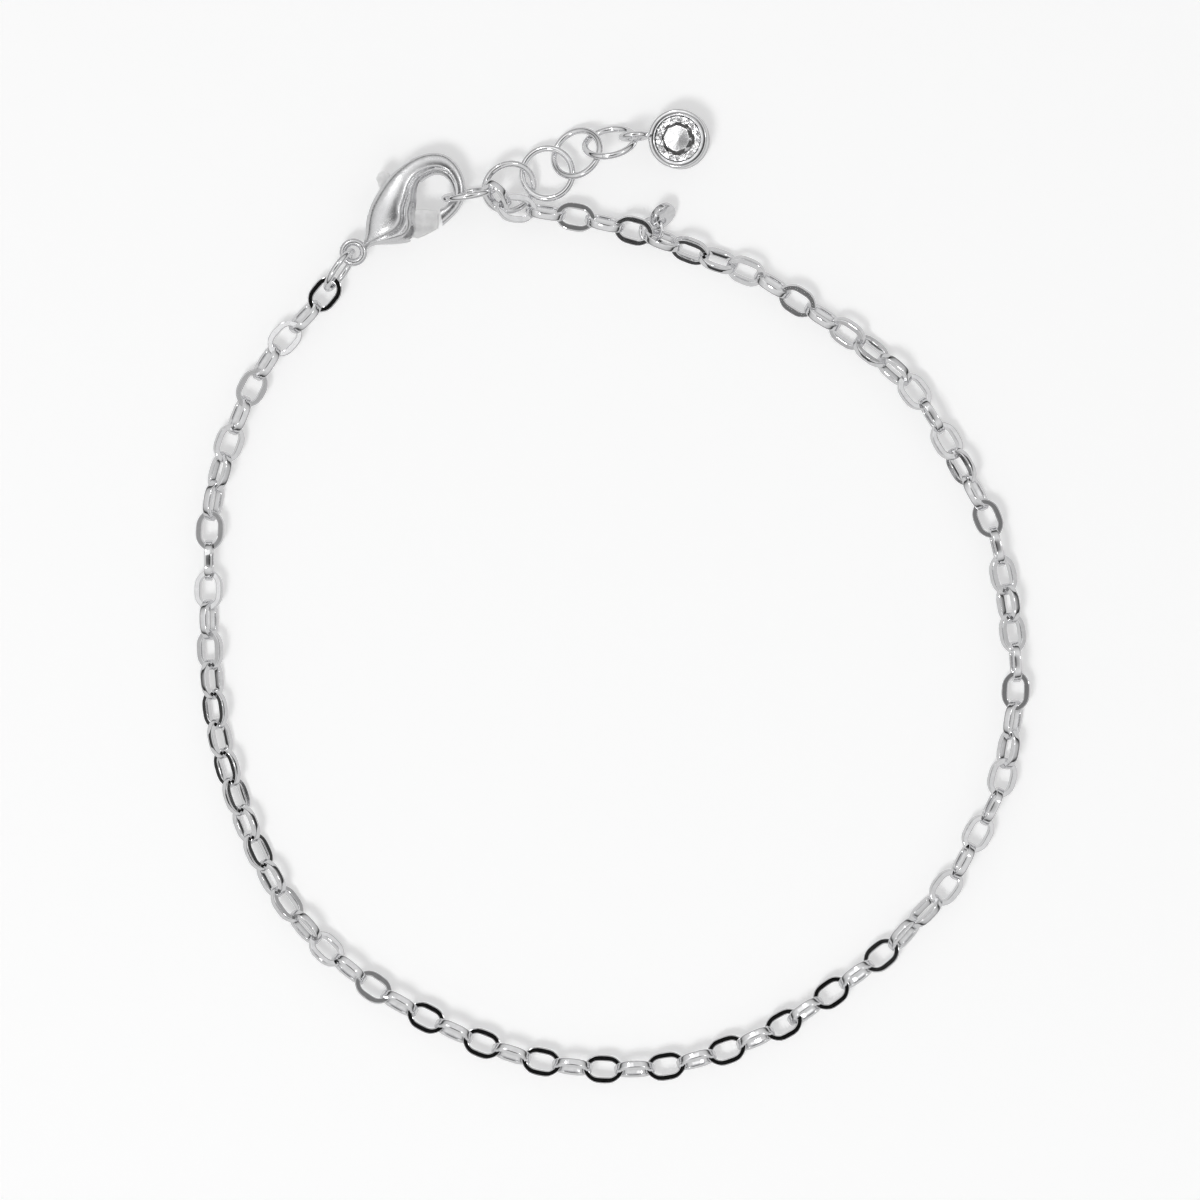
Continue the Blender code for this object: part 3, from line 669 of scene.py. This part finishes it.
def clasp_ring(row):
    ox, oy, ix, iy, thick, ridge = row
    outer, inner = Vector((ox, oy, 0)) * clasp_size, Vector((ix, iy, 0)) * clasp_size
    middle, half = (outer + inner) / 2, (inner - outer) / 2
    rise = thick * clasp_thick
    top = []
    for across, stepped in ridge_profile:
        plain = max(0.0, 1.0 - abs(across) ** clasp_fullness) ** 0.5
        height = rise * (stepped * ridge + plain * (1 - ridge))
        top.append((middle + half * across, height))
    ring = [Vector((p.x, p.y, h)) for p, h in top]
    ring += [Vector((p.x, p.y, -h)) for p, h in reversed(top[1:-1])]
    return ring


stations = [(*outer, *inner, thick, ridge) for outer, inner, thick, ridge in clasp_stations]
station_steps = 4
fine_stations = []
for index in range(len(stations) - 1):
    before = stations[max(index - 1, 0)]
    after = stations[min(index + 2, len(stations) - 1)]
    for step in range(station_steps):
        share = step / station_steps
        fine_stations.append(
            blend_rows(before, stations[index], stations[index + 1], after, share)
        )
fine_stations.append(stations[-1])

bpy.ops.object.select_all(action="DESELECT")
bpy.ops.mesh.primitive_circle_add(vertices=2 * len(ridge_profile) - 2, radius=0.001)
clasp = bpy.context.object
clasp.name = "clasp_casting"
first_ring = clasp_ring(fine_stations[0])
ring_count = len(first_ring)
for vert, place in zip(clasp.data.vertices, first_ring):
    vert.co = place
for row in fine_stations[1:]:
    bpy.ops.object.mode_set(mode="EDIT")
    bpy.ops.mesh.select_mode(type="VERT")
    bpy.ops.object.mode_set(mode="OBJECT")
    total = len(clasp.data.vertices)
    for vert in clasp.data.vertices:
        vert.select = vert.index >= total - ring_count
    bpy.ops.object.mode_set(mode="EDIT")
    bpy.ops.mesh.extrude_region_move()
    bpy.ops.object.mode_set(mode="OBJECT")
    for vert, place in zip(clasp.data.vertices[total:], clasp_ring(row)):
        vert.co = place
bpy.ops.object.mode_set(mode="EDIT")
bpy.ops.mesh.select_mode(type="EDGE")
bpy.ops.mesh.select_all(action="DESELECT")
bpy.ops.mesh.select_non_manifold()
bpy.ops.mesh.edge_face_add()
bpy.ops.mesh.select_all(action="SELECT")
bpy.ops.mesh.normals_make_consistent(inside=False)
bpy.ops.object.mode_set(mode="OBJECT")

bpy.ops.object.select_all(action="DESELECT")
bpy.ops.mesh.primitive_torus_add(
    major_radius=clasp_eye_radius,
    minor_radius=clasp_eye_wire / 2,
    major_segments=48,
    minor_segments=20,
    location=clasp_eye_place,
)
clasp_eye = bpy.context.object
clasp_eye.name = "clasp_eye"


def cut_with(piece, tool, operation):
    bpy.ops.object.select_all(action="DESELECT")
    piece.select_set(True)
    bpy.context.view_layer.objects.active = piece
    work = piece.modifiers.new(operation.lower(), "BOOLEAN")
    work.operation = operation
    work.solver = "EXACT"
    work.object = tool
    bpy.ops.object.modifier_apply(modifier=work.name)
    bpy.data.objects.remove(tool, do_unlink=True)


def flat_piece(name, loops, thick, edge=0.0, edge_steps=0):
    outline = bpy.data.curves.new(name + "_curve", "CURVE")
    outline.dimensions = "2D"
    outline.fill_mode = "BOTH"
    outline.extrude = thick / 2 - edge
    if edge:
        outline.bevel_depth = edge
        outline.bevel_resolution = edge_steps
        outline.offset = -edge
    for loop in loops:
        spline = outline.splines.new("POLY")
        spline.points.add(len(loop) - 1)
        for point, (x, y) in zip(spline.points, loop):
            point.co = (x, y, 0, 1)
        spline.use_cyclic_u = True
    piece = bpy.data.objects.new(name, outline)
    bpy.context.scene.collection.objects.link(piece)
    bpy.ops.object.select_all(action="DESELECT")
    piece.select_set(True)
    bpy.context.view_layer.objects.active = piece
    bpy.ops.object.convert(target="MESH")
    piece = bpy.context.object
    bpy.ops.object.mode_set(mode="EDIT")
    bpy.ops.mesh.select_all(action="SELECT")
    bpy.ops.mesh.remove_doubles(threshold=merge_near)
    bpy.ops.mesh.normals_make_consistent(inside=False)
    bpy.ops.object.mode_set(mode="OBJECT")
    return piece


def round_outline(points):
    return [(r * math.cos(math.radians(t)), r * math.sin(math.radians(t))) for r, t in points]


cut_with(clasp, clasp_eye, "UNION")

# The slot leaves room for the lever to swing: a sector for the gate, one for the thumb piece, and
# a round hub between them, with the pin left standing in its middle
lever_swing = 30.0
slot_high = 0.00116
slot_hub = 0.09 * clasp_size
gate_sector = (-27.0, 34.0 + lever_swing, 0.387)
thumb_sector = (69.0, 115.0 + lever_swing, 0.500)
pin_radius = 0.00030
pin_turns = range(0, 360, 12)
slot_points = []
for start, end, reach in (gate_sector, thumb_sector):
    slot_points.append((slot_hub, start))
    slot_points += [(reach * clasp_size, start + (end - start) * i / 6) for i in range(7)]
    slot_points.append((slot_hub, end))
slot_points += [(slot_hub, turn) for turn in range(160, 330, 15)]
pin_points = [(pin_radius, turn) for turn in pin_turns]
slot = flat_piece("slot_tool", (round_outline(slot_points), round_outline(pin_points)), slot_high)
cut_with(clasp, slot, "DIFFERENCE")
bpy.ops.object.shade_smooth_by_angle(angle=math.radians(42))
clasp.data.transform(Matrix.Translation(clasp_pivot))
clasp.data.materials.clear()
clasp.data.materials.append(clasp_metal)
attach(clasp, "bracelet")
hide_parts("clasp_body")

# The lever: stamped from plate, with a gate that closes the hook's mouth, an arm through the
# belly's slot and a round thumb piece beyond it. A spring in the belly holds it shut.
lever_thick = 0.00100
lever_edge = 0.00006
lever_bore = 0.00038
lever_shape = [
    (0.040, -0.043),
    (0.087, -0.037),
    (0.153, -0.057),
    (0.220, -0.073),
    (0.260, -0.059),
    (0.300, -0.039),
    (0.333, -0.021),
    (0.358, -0.005),
    (0.358, 0.090),
    (0.340, 0.111),
    (0.267, 0.115),
    (0.190, 0.113),
    (0.180, 0.080),
    (0.100, 0.047),
    (0.029, 0.050),
    (0.023, 0.147),
    (0.031, 0.253),
    (0.047, 0.320),
    (0.034, 0.355),
    (-0.003, 0.373),
    (-0.040, 0.355),
    (-0.054, 0.320),
    (-0.040, 0.285),
    (-0.030, 0.253),
    (-0.026, 0.147),
    (-0.040, 0.050),
    (-0.060, 0.000),
    (-0.045, -0.040),
    (0.000, -0.058),
]
lever_metal = polished_plate("polished_lever_metal", (0.99, 0.99, 0.99), 0.45, 0.08)
lever_outline = [(x * clasp_size, y * clasp_size) for x, y in lever_shape]
bore_outline = round_outline([(lever_bore, turn) for turn in pin_turns])
lever = flat_piece("lever_plate", (lever_outline, bore_outline), lever_thick, lever_edge, 2)
bpy.ops.object.shade_smooth_by_angle(angle=math.radians(38))
lever.data.transform(Matrix.Translation(clasp_pivot))
lever.data.materials.clear()
lever.data.materials.append(lever_metal)
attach(lever, "clasp_lever")
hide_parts("clasp_lever")

# The bezel drop: a turned cup with a flat back, its rim rolled in over the stone's girdle, and a
# wire loop soldered to its side. It lies tipped a little to the left.
stone_across = 0.00300
stone_crown = 0.00042
stone_girdle = 0.00010
stone_pavilion = 0.00095
stone_table = 0.00175
bezel_wall = 0.00042
bezel_floor = 0.00035
bezel_lip = 0.00012
bezel_edge = 0.00012
seat_room = 0.00006
loop_outer = 0.00212
loop_wire = 0.00040
loop_sink = 0.4
loop_rise = 0.00086
loop_turn = 7.6
loop_tilt = 84.5
bezel_metal = polished_plate("polished_bezel_metal", (0.88, 0.88, 0.89), 0.12, 0.05)
seat = stone_across / 2 + seat_room
cup_radius = seat + bezel_wall
cup_depth = stone_pavilion + stone_girdle + bezel_lip
cup_high = bezel_floor + seat_room + cup_depth
# The cup's section, from the middle of its seat over the rim to the middle of its back
cup_profile = [
    (0.0, cup_high / 2 - cup_depth - seat_room),
    (seat * 0.45, cup_high / 2 - cup_depth - seat_room),
    (seat, cup_high / 2 - stone_girdle - bezel_lip - seat_room),
    (seat, cup_high / 2 - 0.00006),
    (seat + 0.00003, cup_high / 2 - 0.00002),
    (seat + 0.00008, cup_high / 2),
    (cup_radius - 0.00014, cup_high / 2),
    (cup_radius - 0.00006, cup_high / 2 - 0.00003),
    (cup_radius - 0.00001, cup_high / 2 - 0.00010),
    (cup_radius, cup_high / 2 - 0.00018),
    (cup_radius, -cup_high / 2 + bezel_edge),
    (cup_radius - 0.00003, -cup_high / 2 + 0.00004),
    (cup_radius - bezel_edge, -cup_high / 2),
    (0.0, -cup_high / 2),
]
bpy.ops.object.select_all(action="DESELECT")
bpy.ops.mesh.primitive_circle_add(vertices=len(cup_profile), radius=0.001)
cup = bpy.context.object
cup.name = "bezel_cup"
for vert, (reach, high) in zip(cup.data.vertices, cup_profile):
    vert.co = (reach, 0, high)
bpy.ops.object.mode_set(mode="EDIT")
bpy.ops.mesh.select_mode(type="EDGE")
bpy.ops.object.mode_set(mode="OBJECT")
for edge in cup.data.edges:
    edge.select = {edge.vertices[0], edge.vertices[1]} == {0, len(cup_profile) - 1}
bpy.ops.object.mode_set(mode="EDIT")
bpy.ops.mesh.delete(type="EDGE")
bpy.ops.mesh.select_all(action="SELECT")
bpy.ops.mesh.spin(steps=96, angle=2 * math.pi, center=(0, 0, 0), axis=(0, 0, 1))
bpy.ops.mesh.select_all(action="SELECT")
bpy.ops.mesh.remove_doubles(threshold=merge_near)
bpy.ops.mesh.normals_make_consistent(inside=False)
bpy.ops.object.mode_set(mode="OBJECT")
bpy.ops.object.select_all(action="DESELECT")
bpy.ops.mesh.primitive_torus_add(
    major_radius=(loop_outer - loop_wire) / 2,
    minor_radius=loop_wire / 2,
    major_segments=64,
    minor_segments=20,
)
loop = bpy.context.object
loop.data.transform(
    Matrix.Translation((-cup_radius - loop_outer / 2 + loop_wire * loop_sink, 0, loop_rise))
    @ Matrix.Rotation(math.radians(loop_turn), 4, "Z")
    @ Matrix.Rotation(math.radians(loop_tilt), 4, "X")
)
cut_with(cup, loop, "UNION")
bpy.ops.object.shade_smooth_by_angle(angle=math.radians(35))
drop_lean = math.radians(8.0)
drop_rest = (cup_radius - bezel_edge) * math.sin(drop_lean) + cup_high / 2 * math.cos(drop_lean)
drop_heading = math.radians(-3.0)
drop_spot = (0.00439, 0.0304)
drop_facing = Euler((0.0, -drop_lean, drop_heading), "XYZ").to_matrix().to_4x4()
drop_place = Matrix.Translation(Vector((*drop_spot, drop_rest)) + lay_origin) @ drop_facing
cup.data.transform(drop_place)
cup.data.materials.clear()
cup.data.materials.append(bezel_metal)
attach(cup, "bracelet")
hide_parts("bezel_drop")

# The stone: a round brilliant cut from clear crystal, with a flat table, eight kites between
# stars and upper halves, a thin girdle, and a pointed pavilion of two steps with a foil backing.
crystal = bpy.data.materials.new("clear_cut_crystal")
crystal.use_nodes = True
crystal_shader = crystal.node_tree.nodes["Principled BSDF"]
crystal_shader.inputs["Base Color"].default_value = (0.98, 0.98, 0.99, 1.0)
crystal_shader.inputs["Roughness"].default_value = 0.0
crystal_shader.inputs["IOR"].default_value = 1.9
crystal_shader.inputs["Transmission Weight"].default_value = 1.0
foil_back = polished_plate("silver_foil_backing", (0.97, 0.97, 0.97), 0.08, 0.03)
girdle_reach = stone_across / 2
crown_reach, crown_rise = 0.80, 0.55
step_reach, step_depth = 0.53, 0.73
point_depth = 0.92
# The stone's corners: reach, height, count and turn of each row, from the table down
stone_rows = [
    (stone_table / 2, stone_crown, 8, 0.0),
    (girdle_reach * crown_reach, stone_crown * crown_rise, 8, 22.5),
    (girdle_reach, 0.0, 16, 0.0),
    (girdle_reach, -stone_girdle, 16, 0.0),
    (girdle_reach * step_reach, -stone_girdle - stone_pavilion * step_depth, 16, 11.25),
]
bpy.ops.object.select_all(action="DESELECT")
corners_in_all = sum(count for reach, high, count, offset in stone_rows) + 1
bpy.ops.mesh.primitive_circle_add(vertices=corners_in_all, radius=0.001)
stone = bpy.context.object
stone.name = "cut_stone"
corner = 0
for reach, high, count, offset in stone_rows:
    for step in range(count):
        angle = 2 * math.pi * step / count + math.radians(offset)
        stone.data.vertices[corner].co = (reach * math.cos(angle), reach * math.sin(angle), high)
        corner += 1
stone.data.vertices[corner].co = (0, 0, -stone_girdle - stone_pavilion * point_depth)
bpy.ops.object.mode_set(mode="EDIT")
bpy.ops.mesh.select_all(action="SELECT")
bpy.ops.mesh.delete(type="EDGE_FACE")
bpy.ops.mesh.select_all(action="SELECT")
bpy.ops.mesh.convex_hull()
bpy.ops.mesh.select_all(action="SELECT")
bpy.ops.mesh.normals_make_consistent(inside=False)
bpy.ops.object.mode_set(mode="OBJECT")
for face in stone.data.polygons:
    face.material_index = 1 if face.center.z < -stone_girdle * 1.01 else 0
stone.data.transform(drop_place @ Matrix.Translation((0, 0, cup_high / 2 - bezel_lip)))
stone.data.materials.append(crystal)
stone.data.materials.append(foil_back)
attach(stone, "bracelet")
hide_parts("stone")

# The tag: a tiny plain disc stamped with a hole near its edge, hung from the chain by a small
# jump ring of thinner wire.
tag_across = 0.00190
tag_thick = 0.00045
tag_edge = 0.00007
tag_hole = 0.00070
tag_hole_rim = 0.00020
tag_ring_outer = 0.00190
tag_ring_wire = 0.00028
tag_ring_place = (2.56, 24.35, 0.57, -154.9, 21.8, 16.9)
tag_metal = polished_plate("polished_tag_metal", (0.87, 0.87, 0.88), 0.07, 0.05)
hole_rise = tag_across / 2 - tag_hole / 2 - tag_hole_rim
rim_points = [(tag_across / 2, 360 * step / 64) for step in range(64)]
hole_points = [(tag_hole / 2, 360 * step / 32) for step in range(32)]
hole_outline = [(x, y + hole_rise) for x, y in round_outline(hole_points)]
tag = flat_piece("tag_disc", (round_outline(rim_points), hole_outline), tag_thick, tag_edge, 3)
bpy.ops.object.shade_smooth_by_angle(angle=math.radians(40))
tag_place = Vector((0.00329, 0.02532, 0.00092)) + lay_origin
tag_facing = Euler([math.radians(turn) for turn in (-147.0, 48.7, -4.5)], "XYZ")
tag.data.transform(Matrix.Translation(tag_place) @ tag_facing.to_matrix().to_4x4())
tag.data.materials.clear()
tag.data.materials.append(tag_metal)
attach(tag, "bracelet")
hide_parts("tag")
tag_ring = jump_ring("tag_ring_wire", tag_ring_outer, tag_ring_wire, tag_ring_place, 90)
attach(tag_ring, "bracelet")
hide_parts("tag_ring")

bpy.context.view_layer.update()
